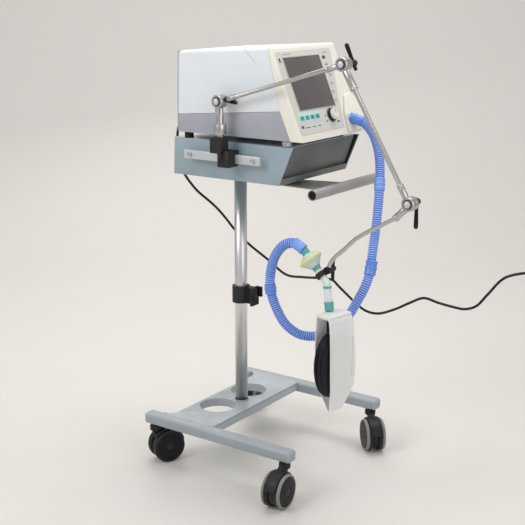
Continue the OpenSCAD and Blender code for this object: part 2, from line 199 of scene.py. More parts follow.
MT = dict(
    base=mat("base_paint", (0.295, 0.33, 0.36), 0.42, bump=0.35, bs=900, edge=0.5, var=0.05, dust=0.35, rvar=0.12),
    post=mat("column_metal", (0.70, 0.70, 0.69), 0.34, 1.0, stretch=(1, 1, 0.04), vs=60, bs=900, bump=0.04, var=0.05, rvar=0.05),
    black=mat("black_plastic", (0.006, 0.0058, 0.0062), 0.55, spec=0.2, bump=0.5, bs=1500, edge=0.35, var=0.2),
    tray=mat("tray_paint", (0.235, 0.305, 0.345), 0.45, bump=0.4, bs=1000, edge=0.5, var=0.05, rvar=0.1, dust=0.15),
    traydark=mat("tray_dark", (0.125, 0.13, 0.124), 0.55, spec=0.3, bump=0.4, bs=1000, edge=0.3, var=0.12),
    rail=mat("rail_metal", (0.60, 0.62, 0.64), 0.52, 0.55, stretch=(0.05, 1, 1), vs=80, bs=900, bump=0.15, var=0.08),
    screw=mat("screw_metal", (0.60, 0.60, 0.60), 0.25, 1.0, vs=80, bs=1200, bump=0.1, var=0.15),
    handle=mat("handle_grey", (0.29, 0.28, 0.265), 0.42, 0.3, bump=0.2, bs=900, edge=0.4, var=0.07),
    band=mat("chassis_grey", (0.33, 0.34, 0.385), 0.5, bump=0.55, bs=1400, edge=0.2, var=0.04),
    white=mat("housing_white", (0.74, 0.775, 0.80), 0.42, bump=0.45, bs=1300, edge=0.1, var=0.025, rvar=0.07, dust=0.06),
    cream=mat("bezel_cream", (0.83, 0.80, 0.71), 0.42, bump=0.4, bs=1300, edge=0.15, var=0.03, rvar=0.07),
    memb=mat("membrane", (0.64, 0.63, 0.575), 0.38, bump=0.3, bs=2200, var=0.03, rvar=0.06),
    glass=mat("screen_glass", (0.095, 0.078, 0.078), 0.3, bump=0.02, bs=40, var=0.1, rvar=0.05, coat=0.6),
    frame=mat("screen_frame", (0.42, 0.41, 0.39), 0.45, bump=0.3, bs=1500, var=0.05),
    rubber=mat("rubber_black", (0.012, 0.012, 0.012), 0.7, spec=0.3, bump=0.5, bs=900, var=0.25),
    board=mat("board_green", (0.04, 0.22, 0.10), 0.4, bump=0.4, bs=600, var=0.3, vs=60),
    psu=mat("psu_metal", (0.6, 0.6, 0.62), 0.35, 1.0, bump=0.2, bs=900, var=0.1),
    batt=mat("battery_grey", (0.22, 0.22, 0.25), 0.55, bump=0.4, bs=900, var=0.1),
    blower=mat("blower_white", (0.7, 0.7, 0.7), 0.5, bump=0.4, bs=900, var=0.06),
    port=mat("port_white", (0.62, 0.70, 0.80), 0.35, bump=0.2, bs=900, var=0.04, sss=0.1),
    knob=mat("knob_ivory", (0.70, 0.69, 0.62), 0.36, bump=0.25, bs=1200, var=0.04, edge=0.2),
    teal=mat("key_strip_teal", (0.52, 0.72, 0.69), 0.4, bump=0.3, bs=1800, var=0.04),
    key=mat("key_teal", (0.045, 0.30, 0.28), 0.42, bump=0.3, bs=1500, var=0.06, edge=0.2),
    keylt=mat("key_mark", (0.02, 0.15, 0.14), 0.4, bump=0.1, bs=1500, var=0.03),
    dark=mat("mark_dark", (0.07, 0.07, 0.075), 0.4, bump=0.2, bs=1500, var=0.1),
    steel=mat("arm_steel", (0.52, 0.51, 0.495), 0.3, 1.0, vs=50, bs=700, bump=0.02, bd=0.0001, var=0.05, rvar=0.05),
    steel2=mat("arm_satin", (0.48, 0.49, 0.50), 0.36, 1.0, vs=50, bs=1200, bump=0.15, var=0.07, rvar=0.08),
    cast=mat("caster_black", (0.006, 0.006, 0.0065), 0.45, spec=0.25, bump=0.4, bs=1300, edge=0.2, var=0.2, dust=0.05),
    tyre=mat("tyre_grey", (0.21, 0.205, 0.195), 0.62, bump=0.5, bs=900, var=0.15, dust=0.2),
    hose=mat("hose_blue", (0.075, 0.17, 0.56), 0.34, bump=0.12, bs=900, var=0.08, vs=14, sss=0.15, spec=0.5),
    crest=mat("hose_crest", (0.30, 0.44, 0.86), 0.32, bump=0.12, bs=900, var=0.07, vs=14, sss=0.2),
    hose2=mat("hose_smooth_blue", (0.12, 0.25, 0.68), 0.3, bump=0.15, bs=900, var=0.06, vs=14, sss=0.15),
    cuff=mat("hose_cuff", (0.20, 0.34, 0.76), 0.36, bump=0.2, bs=700, var=0.05, sss=0.15),
    yellow=mat("filter_yellow", (0.76, 0.76, 0.22), 0.32, bump=0.15, bs=900, var=0.05, sss=0.1),
    clear=mat("filter_clear", (0.90, 0.97, 0.95), 0.14, bump=0.05, bs=300, var=0.03, trans=0.42, rvar=0.05),
    tealc=mat("connector_teal", (0.14, 0.53, 0.47), 0.3, trans=0.4, bump=0.15, bs=900, var=0.06, sss=0.1),
    lung=mat("lung_white", (0.95, 0.945, 0.93), 0.4, bump=0.3, bs=900, var=0.03, vs=20, trans=0.3, rvar=0.08, sss=0.2),
    bag=mat("bag_black", (0.005, 0.0045, 0.008), 0.4, bump=0.35, bs=500, var=0.3, sheen=0.0, spec=0.3),
    cord=mat("cord_black", (0.008, 0.008, 0.009), 0.42, spec=0.35, bump=0.25, bs=1200, var=0.25),
    grey=mat("plug_grey", (0.03, 0.03, 0.032), 0.45, bump=0.3, bs=1200, var=0.2),
    brass=mat("pin_metal", (0.65, 0.60, 0.48), 0.28, 1.0, bump=0.1, bs=900, var=0.1),
)

# ------------------------------------------------------------------ mesh helpers
def finish_mesh(me, name, m, body, smooth=True, angle=35, slots=None):
    me.update()
    ob = bpy.data.objects.new(name, me)
    scene.collection.objects.link(ob)
    for x in ([m] if not isinstance(m, (list, tuple)) else m):
        me.materials.append(x)
    if smooth:
        for p in me.polygons:
            p.use_smooth = True
        if angle:
            me.set_sharp_from_angle(angle=math.radians(angle))
    if body:
        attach(ob, body)
    return ob

def from_bm(bm, name, m, body, smooth=True, angle=35):
    bmesh.ops.recalc_face_normals(bm, faces=bm.faces)
    me = bpy.data.meshes.new(name)
    bm.to_mesh(me)
    bm.free()
    return finish_mesh(me, name, m, body, smooth, angle)

def catmull(pts, step=0.004):
    pts = [V(p) for p in pts]
    P = [pts[0] * 2 - pts[1]] + pts + [pts[-1] * 2 - pts[-2]]
    out = []
    for i in range(1, len(P) - 2):
        p0, p1, p2, p3 = P[i - 1], P[i], P[i + 1], P[i + 2]
        n = max(2, int((p2 - p1).length / step))
        t0 = 0
        t1 = t0 + max(1e-6, (p1 - p0).length) ** 0.5
        t2 = t1 + max(1e-6, (p2 - p1).length) ** 0.5
        t3 = t2 + max(1e-6, (p3 - p2).length) ** 0.5
        for k in range(n):
            t = t1 + (t2 - t1) * k / n
            a1 = p0 * ((t1 - t) / (t1 - t0)) + p1 * ((t - t0) / (t1 - t0))
            a2 = p1 * ((t2 - t) / (t2 - t1)) + p2 * ((t - t1) / (t2 - t1))
            a3 = p2 * ((t3 - t) / (t3 - t2)) + p3 * ((t - t2) / (t3 - t2))
            b1 = a1 * ((t2 - t) / (t2 - t0)) + a2 * ((t - t0) / (t2 - t0))
            b2 = a2 * ((t3 - t) / (t3 - t1)) + a3 * ((t - t1) / (t3 - t1))
            out.append(b1 * ((t2 - t) / (t2 - t1)) + b2 * ((t - t1) / (t2 - t1)))
    out.append(pts[-1])
    return out

def resample(path, step):
    L = [0]
    for a, b in zip(path, path[1:]):
        L.append(L[-1] + (b - a).length)
    n = max(2, int(round(L[-1] / step)))
    out, j = [], 0
    for k in range(n + 1):
        s = L[-1] * k / n
        while j < len(L) - 2 and L[j + 1] < s:
            j += 1
        t = 0 if L[j + 1] == L[j] else (s - L[j]) / (L[j + 1] - L[j])
        out.append(path[j].lerp(path[j + 1], min(1, max(0, t))))
    return out, L[-1]

def frames(path):
    T = []
    for i in range(len(path)):
        a, b = path[max(0, i - 1)], path[min(len(path) - 1, i + 1)]
        T.append((b - a).normalized())
    u = T[0].cross(V((0, 1, 0)))
    if u.length < 0.1:
        u = T[0].cross(V((0, 0, 1)))
    u.normalize()
    U = [u]
    for i in range(1, len(path)):
        q = T[i - 1].rotation_difference(T[i])
        u = (q @ U[-1])
        u = (u - T[i] * u.dot(T[i])).normalized()
        U.append(u)
    return T, U

def sweep(name, path, rad, sides, m, body, caps=True, angle=None):
    T, U = frames(path)
    verts, faces = [], []
    for i, p in enumerate(path):
        r = rad(i) if callable(rad) else rad
        v = T[i].cross(U[i])
        for k in range(sides):
            a = 2 * math.pi * k / sides
            verts.append(p + (U[i] * math.cos(a) + v * math.sin(a)) * r)
    for i in range(len(path) - 1):
        for k in range(sides):
            faces.append((i * sides + k, i * sides + (k + 1) % sides, (i + 1) * sides + (k + 1) % sides, (i + 1) * sides + k))
    if caps:
        faces.append(tuple(range(sides))[::-1])
        faces.append(tuple((len(path) - 1) * sides + k for k in range(sides)))
    me = bpy.data.meshes.new(name)
    me.from_pydata([tuple(v) for v in verts], [], faces)
    return finish_mesh(me, name, m, body, True, angle)

def lathe(name, prof, origin, axis, m, body, seg=48, angle=35, caps=True, ribs=0, rib=0.0):
    """prof: (distance along the axis, radius) in metres."""
    axis = V(axis).normalized()
    q = V((0, 0, 1)).rotation_difference(axis)
    O = V(origin)
    verts, faces = [], []
    for s, r in prof:
        for k in range(seg):
            a = 2 * math.pi * k / seg
            rr = r * (1 + (rib * (0.5 + 0.5 * math.cos(ribs * a)) if ribs else 0))
            verts.append(O + q @ V((rr * math.cos(a), rr * math.sin(a), s)))
    n = len(prof)
    for i in range(n - 1):
        for k in range(seg):
            faces.append((i * seg + k, i * seg + (k + 1) % seg, (i + 1) * seg + (k + 1) % seg, (i + 1) * seg + k))
    if caps:
        faces.append(tuple(range(seg))[::-1])
        faces.append(tuple((n - 1) * seg + k for k in range(seg)))
    me = bpy.data.meshes.new(name)
    me.from_pydata([tuple(v) for v in verts], [], faces)
    return finish_mesh(me, name, m, body, True, angle)

def lathe_ring(name, prof, origin, axis, m, body, seg=64, angle=35):
    """closed profile turned into a ring"""
    axis = V(axis).normalized()
    q = V((0, 0, 1)).rotation_difference(axis)
    O = V(origin)
    verts, faces = [], []
    n = len(prof)
    for s, r in prof:
        for k in range(seg):
            a = 2 * math.pi * k / seg
            verts.append(O + q @ V((r * math.cos(a), r * math.sin(a), s)))
    for i in range(n):
        j = (i + 1) % n
        for k in range(seg):
            faces.append((i * seg + k, i * seg + (k + 1) % seg, j * seg + (k + 1) % seg, j * seg + k))
    me = bpy.data.meshes.new(name)
    me.from_pydata([tuple(v) for v in verts], [], faces)
    bm = bmesh.new()
    bm.from_mesh(me)
    bpy.data.meshes.remove(me)
    return from_bm(bm, name, m, body, True, angle)

def rbox(name, lo, hi, r, m, body, seg=3, M=None, edges=None, angle=40):
    lo, hi = V(lo), V(hi)
    bm = bmesh.new()
    bmesh.ops.create_cube(bm, size=1)
    for v in bm.verts:
        v.co = V((lo[i] + (v.co[i] + 0.5) * (hi[i] - lo[i]) for i in range(3)))
    es = list(bm.edges)
    if edges:
        es = [e for e in es if edges((e.verts[0].co + e.verts[1].co) / 2, (e.verts[1].co - e.verts[0].co).normalized())]
    r = min(r, 0.49 * min(hi - lo))
    bmesh.ops.bevel(bm, geom=es, offset=r, segments=seg, profile=0.5, affect="EDGES")
    if M is not None:
        bmesh.ops.transform(bm, matrix=M, verts=bm.verts)
    return from_bm(bm, name, m, body, True, angle)

def prism(name, pts, y0, y1, m, body, r=0.002, seg=3, M=None, big=None, rb=0.008, plane="xz"):
    """outline in X and Z from y0 to y1; big(mid) tells which edges get the larger round"""
    bm = bmesh.new()
    def at(p, w):
        return (p[0], w, p[1]) if plane == "xz" else ((p[0], p[1], w) if plane == "xy" else (w, p[0], p[1]))
    a = [bm.verts.new(at(p, y0)) for p in pts]
    b = [bm.verts.new(at(p, y1)) for p in pts]
    n = len(pts)
    bm.faces.new(a)
    bm.faces.new(b[::-1])
    for i in range(n):
        bm.faces.new((a[i], b[i], b[(i + 1) % n], a[(i + 1) % n]))
    bmesh.ops.recalc_face_normals(bm, faces=bm.faces)
    if big:
        es = [e for e in bm.edges if big((e.verts[0].co + e.verts[1].co) / 2, e)]
        bmesh.ops.bevel(bm, geom=es, offset=rb, segments=6, profile=0.5, affect="EDGES", clamp_overlap=True)
    if r > 0:
        es = [e for e in bm.edges if len(e.link_faces) == 2 and e.calc_face_angle(0) > math.radians(28)]
        bmesh.ops.bevel(bm, geom=es, offset=r, segments=seg, profile=0.5, affect="EDGES", clamp_overlap=True)
    if M is not None:
        bmesh.ops.transform(bm, matrix=M, verts=bm.verts)
    return from_bm(bm, name, m, body, True, 40)

def join(name, obs, body):
    """one object from several, on the same body"""
    bm = bmesh.new()
    mats = []
    for o in obs:
        t = o.data.copy()
        for p in t.polygons:
            mm = o.data.materials[p.material_index]
            if mm not in mats:
                mats.append(mm)
            p.material_index = mats.index(mm)
        t.transform(o.matrix_world)
        bm.from_mesh(t)
        bpy.data.meshes.remove(t)
    for o in obs:
        bpy.data.objects.remove(o)
    me = bpy.data.meshes.new(name)
    bm.to_mesh(me)
    bm.free()
    return finish_mesh(me, name, mats, body, True, 38)

def P(*a):
    return V(a) * MM

# face frame of the sloping front: x out, y across, z up the slope
sl = math.atan(0.42)
FACE = Matrix.Translation(P(262, 0, 1014)) @ Matrix.Rotation(-sl, 4, "Y")
NRM = (FACE.to_3x3() @ V((1, 0, 0))).normalized()
def F(x, y, z):
    return FACE @ P(x, y, z)

# ------------------------------------------------------------------ cords and hoses first
hose_pts = [P(*p) for p in [(262,70,1055),(292,73,1047),(323,72,1020),(344,65,987),(361,52,948),(378,25,885),
 (391,-5,819),(399,-32,755),(407,-60,700),(410,-70,671),
 (407,-90,627),(394,-108,587),(374,-125,542),(337,-142,500),(297,-165,481),(260,-190,485),(225,-208,512),(197,-218,562),(184,-224,612),
 (188,-227,666),(207,-228,716),(238,-227,746),(268,-226,750),(288,-225,739)]]
cord_pts = [P(*p) for p in [(-186,-110,1040),(-206,-110,1038),(-221,-112,1018),(-227,-114,975),(-220,-115,925),(-204,-112,878),(-189,-98,846),(-178,-80,821),
 (-161,-58,796),(-146,-35,770),(-132,-10,737),(-117,15,699),(-87,45,652),(-29,70,603),(33,80,562),(88,88,561),(143,95,565),(186,98,565),(208,100,548),(257,105,510),
 (294,108,487),(333,115,482),(385,125,502),(427,132,526),(469,140,546),(512,145,538),(556,150,532),(590,155,530),(622,160,543),(652,165,580),(697,170,634),(754,175,656),(775,176,659)]]

def cut_path(pts, a, b):
    """smooth path through all points, cut between route points a and b"""
    full = []
    marks = []
    P0 = [pts[0] * 2 - pts[1]] + pts + [pts[-1] * 2 - pts[-2]]
    dense = catmull(pts, 0.002)
    i0 = min(range(len(dense)), key=lambda i: (dense[i] - pts[a]).length)
    i1 = min(range(len(dense)), key=lambda i: (dense[i] - pts[b]).length)
    return dense[i0:i1 + 1]

segs = [("hose_1", 0, 5, "root", "arm_base"), ("hose_2", 5, 9, "arm_base", "arm_first"),
        ("hose_3", 9, 18, "arm_first", "arm_second"), ("hose_4", 18, 23, "arm_second", "arm_third")]
HR, PITCH = 0.0140, 0.0062
for name, a, b, b0, b1 in segs:
    raw = cut_path(hose_pts, a, b)
    path, L = resample(raw, PITCH / 8)
    smooth_part = name == "hose_4" or name == "hose_3"
    n = len(path)
    def rad(i, n=n, L=L, path=path):
        s = L * i / (n - 1)
        e = min(s, L - s)
        fade = min(1, max(0, (e - 0.006) / 0.006))
        c = math.cos(2 * math.pi * s / PITCH)
        c = math.copysign(abs(c) ** 0.75, c)
        return HR - (0.0016 if smooth_part else 0.0024) * (0.5 - 0.5 * c) * fade - 0.0002
    tube = sweep(name + "_corrugated", path, rad, 30, [MT["hose"], MT["crest"]], None)
    for pi, pg in enumerate(tube.data.polygons):
        ri = pi // 30
        if ri < n - 1:
            sm = L * (ri + 0.5) / (n - 1)
            if math.cos(2 * math.pi * sm / PITCH) > (0.1 if not smooth_part else 0.35) and 0.008 < sm < L - 0.008:
                pg.material_index = 1
    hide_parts(name)
    pieces = []
    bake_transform(tube)
    print("HOSE", name, round(L, 4))

def cuff(name, i, body, r=0.0152, half=0.017, m="cuff"):
    d = catmull(hose_pts, 0.002)
    k = min(range(len(d)), key=lambda j: (d[j] - hose_pts[i]).length)
    t = (d[min(k + 3, len(d) - 1)] - d[max(k - 3, 0)]).normalized()
    pr = [(-half, r * 0.93), (-half + 0.001, r), (-half + 0.006, r), (-half + 0.007, r * 0.97), (-0.003, r * 0.97), (-0.0022, r * 1.06), (0.0022, r * 1.06),
          (0.003, r * 0.97), (half - 0.007, r * 0.97), (half - 0.006, r), (half - 0.001, r), (half, r * 0.93)]
    return lathe(name, pr, hose_pts[i], t, MT[m], body, angle=30)
cuff("hose_coupling_upper", 5, "arm_base")
cuff("hose_coupling_middle", 9, "arm_first", r=0.0162, half=0.02, m="hose2")
cuff("hose_coupling_lower", 18, "arm_second", r=0.0158, half=0.014, m="hose2")

cpath, CL = resample(catmull(cord_pts, 0.002), 0.004)
cable = sweep("mains_cord", cpath, 0.0038, 14, MT["cord"], "root")
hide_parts("power_cord")
print("CORD", round(CL, 4))

# mains plug on the cord's far end
pl = P(775, 176, 659)
parts = [lathe("pl_a", [(0, 0.0046), (0.002, 0.0058), (0.0135, 0.0085), (0.014, 0.0088)], pl, (1, 0, 0), MT["grey"], "root")]
for k in range(4):
    parts.append(lathe("pl_r%d" % k, [(0, 0.0062 + k * 0.0005), (0.0005, 0.0070 + k * 0.0006), (0.0014, 0.0070 + k * 0.0006), (0.0019, 0.0062 + k * 0.0005)], pl + P(2.5 + 3 * k, 0, 0), (1, 0, 0), MT["grey"], "root"))
parts.append(rbox("pl_b", pl + P(14, -16.5, -11.5), pl + P(50, 16.5, 11.5), 0.006, MT["grey"], "root", 5))
parts.append(rbox("pl_c", pl + P(20, -17, -6), pl + P(40, 17, 6), 0.003, MT["cord"], "root", 3))
for y in (-9.5, 9.5):
    parts.append(lathe("pl_p%d" % y, [(0, 0.0024), (0.017, 0.0024), (0.019, 0.0014)], pl + P(50, y, 0), (1, 0, 0), MT["brass"], "root"))
plug = join("mains_plug_body", parts, "root")
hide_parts("mains_plug")
# inlet bush at the rear panel
relief = lathe("cord_strain_relief", [(0, 0.0078), (0.003, 0.0078), (0.004, 0.0066), (0.010, 0.0062), (0.011, 0.0054), (0.018, 0.0050), (0.0245, 0.0044)], P(-161.2, -110, 1040), (-1, 0, 0), MT["black"], "root")

# ------------------------------------------------------------------ trolley base
for nm in ("left_leg", "right_leg"):
    lo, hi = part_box(nm)
    o = rbox(nm + "_beam", lo, hi, 0.009, MT["base"], "root", 5)
    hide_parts(nm)
# deck between the legs, folded at the rim, with a sleeve round each bottle hole
def fillet_pts(cx, cy, r, a0, a1, n=8):
    return [(cx + r * math.cos(math.radians(a0 + (a1 - a0) * k / n)), cy + r * math.sin(math.radians(a0 + (a1 - a0) * k / n))) for k in range(n + 1)]
def deck_outline(d=0.0):
    x0, x1, yy, fr = -0.176 + d, -0.018 - d, 0.222 - d, 0.030 - d
    out = []
    for (px, py) in fillet_pts(-0.206, -0.192, 0.030 + d, -90, 0):
        out.append((px, max(py, -yy)))
    for (px, py) in fillet_pts(-0.206, 0.192, 0.030 + d, 0, 90):
        out.append((px, min(py, yy)))
    out += [(x1, yy), (x1, -yy)]
    return out
def flat_curve(name, loops, z0, z1, m, body, bev=0.001, M=None):
    cu = bpy.data.curves.new(name, "CURVE")
    cu.dimensions = "2D"
    cu.fill_mode = "BOTH"
    for lp in loops:
        s = cu.splines.new("POLY")
        s.points.add(len(lp) - 1)
        for p, c in zip(s.points, lp):
            p.co = (c[0], c[1], 0, 1)
        s.use_cyclic_u = True
    cu.extrude = (z1 - z0) / 2 - bev
    cu.bevel_depth = bev
    cu.bevel_resolution = 2
    cu.offset = -bev
    ob = bpy.data.objects.new(name, cu)
    scene.collection.objects.link(ob)
    bpy.context.view_layer.update()
    dg = bpy.context.evaluated_depsgraph_get()
    me = bpy.data.meshes.new_from_object(ob.evaluated_get(dg), depsgraph=dg)
    bpy.data.objects.remove(ob)
    me.transform((M or Matrix.Identity(4)) @ Matrix.Translation((0, 0, (z0 + z1) / 2)))
    bm = bmesh.new()
    bm.from_mesh(me)
    bmesh.ops.remove_doubles(bm, verts=bm.verts, dist=1e-6)
    bpy.data.meshes.remove(me)
    return from_bm(bm, name, m, body, True, 40)
circ = lambda cx, cy, r, n=72: [(cx + r * math.cos(2 * math.pi * k / n), cy + r * math.sin(2 * math.pi * k / n)) for k in range(n)]
HX, HY = -0.111, 0.081
d1_ = flat_curve("deck_top", [deck_outline(0.0003), circ(HX, -HY, 0.0561)[::-1], circ(HX, HY, 0.0561)[::-1]], 0.1545, 0.1579, MT["base"], "root", bev=0.0012)
d2_ = flat_curve("deck_rim", [deck_outline(0.0003), deck_outline(0.003)[::-1]], 0.1322, 0.1555, MT["base"], "root", bev=0.0008)
ds = [d1_, d2_]
for y in (-HY, HY):
    ds.append(lathe_ring("dk", [(0.1322, 0.0584), (0.1322, 0.0564), (0.1326, 0.0561), (0.1565, 0.0561), (0.1565, 0.0584)], (HX, y, 0), (0, 0, 1), MT["base"], "root", 96))
for y in (-1, 1):
    ya, yb = sorted((y * 0.2205, y * 0.2335))
    ds.append(rbox("dw", (-0.200, ya, 0.140), (-0.0185, yb, 0.1589), 0.0022, MT["base"], "root", 3))
plate = join("base_deck", ds, "root")
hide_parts("cross_plate")
# casters
CAST = {"rear_left": (-229, -242, 64), "front_left": (246, -242, 274), "front_right": (246, 242, -45), "rear_right": (-229, 242, 105)}
def caster(c, x, y, a):
    R = Matrix.Translation(P(x, y, 0)) @ Matrix.Rotation(math.radians(a), 4, "Z")
    q = R.to_3x3()
    ax = q @ V((0, 1, 0))
    W = R @ P(35, 0, 50)
    bs, bw = "swivel_" + c, "wheels_" + c
    pr = [(-15, 104), (-12, 119), (-6, 122), (14, 121), (46, 97), (62, 78), (57, 30), (17, 26), (2, 84)]
    hood = [prism("h1", [(p[0] * MM, p[1] * MM) for p in pr], -0.0078, 0.0078, MT["cast"], bs, r=0.0025, M=R)]
    hood.append(lathe("h2", [(-0.008, 0.041), (-0.0065, 0.0435), (0.0065, 0.0435), (0.008, 0.041)], W, ax, MT["cast"], bs, 64))
    hood.append(lathe("h3", [(0.1035, 0.013), (0.105, 0.0165), (0.117, 0.0168), (0.1195, 0.0155), (0.1215, 0.0125), (0.1243, 0.0125)], R @ P(0, 0, 0), (0, 0, 1), MT["cast"], bs))
    hood.append(lathe("h4", [(0.1243, 0.0088), (0.1249, 0.0088)], R @ P(0, 0, 0), (0, 0, 1), MT["screw"], bs))
    hood.append(lathe("h5", [(-0.0305, 0.0055), (-0.030, 0.006), (0.030, 0.006), (0.0305, 0.0055)], W, ax, MT["cast"], bs, 24))
    # the hood arches over both tyres
    arch = []
    bm = bmesh.new()
    rings = []
    n = 22
    for k in range(n + 1):
        t = math.radians(14 + 128 * k / n)
        d = V((math.cos(t), 0, math.sin(t)))
        row = []
        for (w, rr) in [(-0.019, 0.0524), (-0.0185, 0.0544), (-0.015, 0.0556), (0.015, 0.0556), (0.0185, 0.0544), (0.019, 0.0524)]:
            row.append(bm.verts.new(R @ (P(35, 0, 50) + d * rr + V((0, w, 0)))))
        rings.append(row)
    for i in range(n):
        for k in range(6):
            bm.faces.new((rings[i][k], rings[i + 1][k], rings[i + 1][(k + 1) % 6], rings[i][(k + 1) % 6]))
    bm.faces.new(rings[0][::-1])
    bm.faces.new(rings[-1])
    hood.append(from_bm(bm, "h6", MT["cast"], bs))
    o = join("caster_hood_" + c, hood, bs)
    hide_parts("caster_fork_" + c)
    ws = []
    for s in (-1, 1):
        base = W + ax * (s * 0.0086)
        d = ax * s
        # tyre
        ty = MT["cast"] if c == "rear_left" else MT["tyre"]
        ws.append(lathe_ring("w1", [(0.0125, 0.0415), (0.0125, 0.0492), (0.0135, 0.0499), (0.0168, 0.0499), (0.0198, 0.0488), (0.0214, 0.0468), (0.0212, 0.0445), (0.0195, 0.0415)], base, d, ty, bw, 80))
        ws.append(lathe_ring("w1b", [(0.0004, 0.041), (0.0004, 0.0462), (0.0022, 0.0484), (0.0050, 0.0494), (0.0123, 0.0494), (0.0123, 0.041)], base, d, MT["cast"], bw, 80))
        # hub
        ws.append(lathe_ring("w2", [(0.0, 0.0062), (0.0, 0.0416), (0.0200, 0.0443), (0.0208, 0.0438), (0.0213, 0.0400), (0.0216, 0.0250), (0.0214, 0.0150), (0.0208, 0.0143), (0.0208, 0.0062)], base, d, MT["cast"], bw, 80))
        ws.append(lathe("w3", [(0.0205, 0.0125), (0.0212, 0.0125), (0.0218, 0.0108), (0.0218, 0.0)], base, d, MT["cast"], bw, 32))
    o = join("caster_wheel_pair_" + c, ws, bw)
    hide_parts("caster_wheels_" + c)
for c, (x, y, a) in CAST.items():
    caster(c, x, y, a)

# ------------------------------------------------------------------ CAD nodes that stay: material, small rounded edges
def keep(node, m, bev=0.0008, seg=2):
    o = N[node]
    o.data.materials.clear()
    o.data.materials.append(MT[m])
    for p in o.data.polygons:
        p.material_index = 0
        p.use_smooth = True
    w = o.modifiers.new("weld", "WELD")
    w.merge_threshold = 1e-5
    if bev > 0:
        b = o.modifiers.new("round", "BEVEL")
        b.width = bev
        b.segments = seg
        b.limit_method = "ANGLE"
        b.angle_limit = math.radians(32)
        b.use_clamp_overlap = True
        b.harden_normals = True
    else:
        pass
    return o
for node, m, bev in [("post_flange", "base", 0.0015), ("post", "post", 0.0), ("post_clip", "black", 0.0015), ("tray_shell", "tray", 0.0007), ("tray_front_panel", "traydark", 0.0006),
        ("rail_screws", "screw", 0.0006), ("handle_bracket", "handle", 0.0008), ("handle_tube", "handle", 0.0004),
        ("rear_panel", "band", 0.0006), ("feet", "rubber", 0.0012), ("main_board", "board", 0.0003), ("power_supply", "psu", 0.001),
        ("battery", "batt", 0.001), ("blower_housing", "blower", 0.0008), ("blower_rotor", "blower", 0.0004), ("patient_port", "port", 0.0006),
        ("knob_shaft", "screw", 0.0004), ("rail_clamp", "black", 0.0022), ("arm_post", "steel", 0.0012), ("arm_link_1", "steel", 0.0012), ("arm_link_2", "steel", 0.0012),
        ("arm_link_3", "steel", 0.0), ("hose_holder", "black", 0.001)]:
    keep(node, m, bev)

bar = rbox("equipment_rail_bar", P(-130, -204, 942), P(133, -194, 967), 0.0022, MT["rail"], "root", 4)
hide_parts("equipment_rail")
# ------------------------------------------------------------------ ventilator housing
vy0, vy1 = -0.187, 0.130
def zx(l):
    return [(a * MM, b * MM) for a, b in l]
o = prism("housing_lower", zx([(-160.9, 1014), (220.9, 1014), (187, 1091.8), (-160.9, 1063.8)]), vy0, vy1, MT["band"], "root", r=0.0014, seg=3)
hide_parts("lower_chassis")
def bigtop(mid, e):
    d = (e.verts[1].co - e.verts[0].co).normalized()
    return (mid.z > 1.235 and mid.y < vy0 + 0.001) or (mid.z > 1.235 and mid.y > vy1 - 0.001) or (abs(d.y) > 0.9 and mid.z > 1.2 and mid.x < 0)
o = prism("housing_upper", zx([(-160.9, 1064.3), (186.9, 1092.3), (146.9, 1259), (-156, 1241)]), vy0, vy1, MT["white"], "root", r=0.0012, seg=3, big=bigtop, rb=0.009)
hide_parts("top_cover")
def bigbez(mid, e):
    d = (e.verts[1].co - e.verts[0].co).normalized()
    return (mid.z > 1.255 and abs(d.x) < 0.5 and mid.x > 0.156) or (abs(d.y) < 0.3 and mid.x > (262 - 0.42 * (mid.z * 1000 - 1014)) * MM - 0.004)
o = prism("front_frame", zx([(221.3, 1014), (262, 1014), (159.1, 1259), (147.3, 1259), (187.3, 1092)]), vy0, vy1, MT["cream"], "root", r=0.0012, seg=3, big=bigbez, rb=0.007)
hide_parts("front_bezel")
# membrane panel
mem = flat_curve("control_membrane", [[(p[0] * MM, p[1] * MM) for p in [(-182 + 3, 20), (38, 20), (48, 60), (60, 120), (78, 185), (96, 248), (92, 252), (-179, 252), (-181, 250), (-182, 23)]]],
                 0.0, 0.0013, MT["memb"], "root", bev=0.0004, M=FACE @ Matrix(((0, 0, 1, 0), (1, 0, 0, 0), (0, 1, 0, 0), (0, 0, 0, 1))))
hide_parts("keypad_panel")
# display: frame lip, glass
lip = flat_curve("display_frame", [[(p[0] * MM, p[1] * MM) for p in [(-155.5, 84.5), (26.5, 84.5), (26.5, 235.5), (-155.5, 235.5)]], [(p[0] * MM, p[1] * MM) for p in [(-153.4, 86.6), (-153.4, 233.4), (24.4, 233.4), (24.4, 86.6)]]],
                 0.0012, 0.0030, MT["frame"], "root", bev=0.0005, M=FACE @ Matrix(((0, 0, 1, 0), (1, 0, 0, 0), (0, 1, 0, 0), (0, 0, 0, 1))))
g = rbox("display_screen", P(0.2, -153.4, 86.6), P(2.0, 24.4, 233.4), 0.0004, MT["glass"], "root", 2, M=FACE)
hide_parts("display_glass")
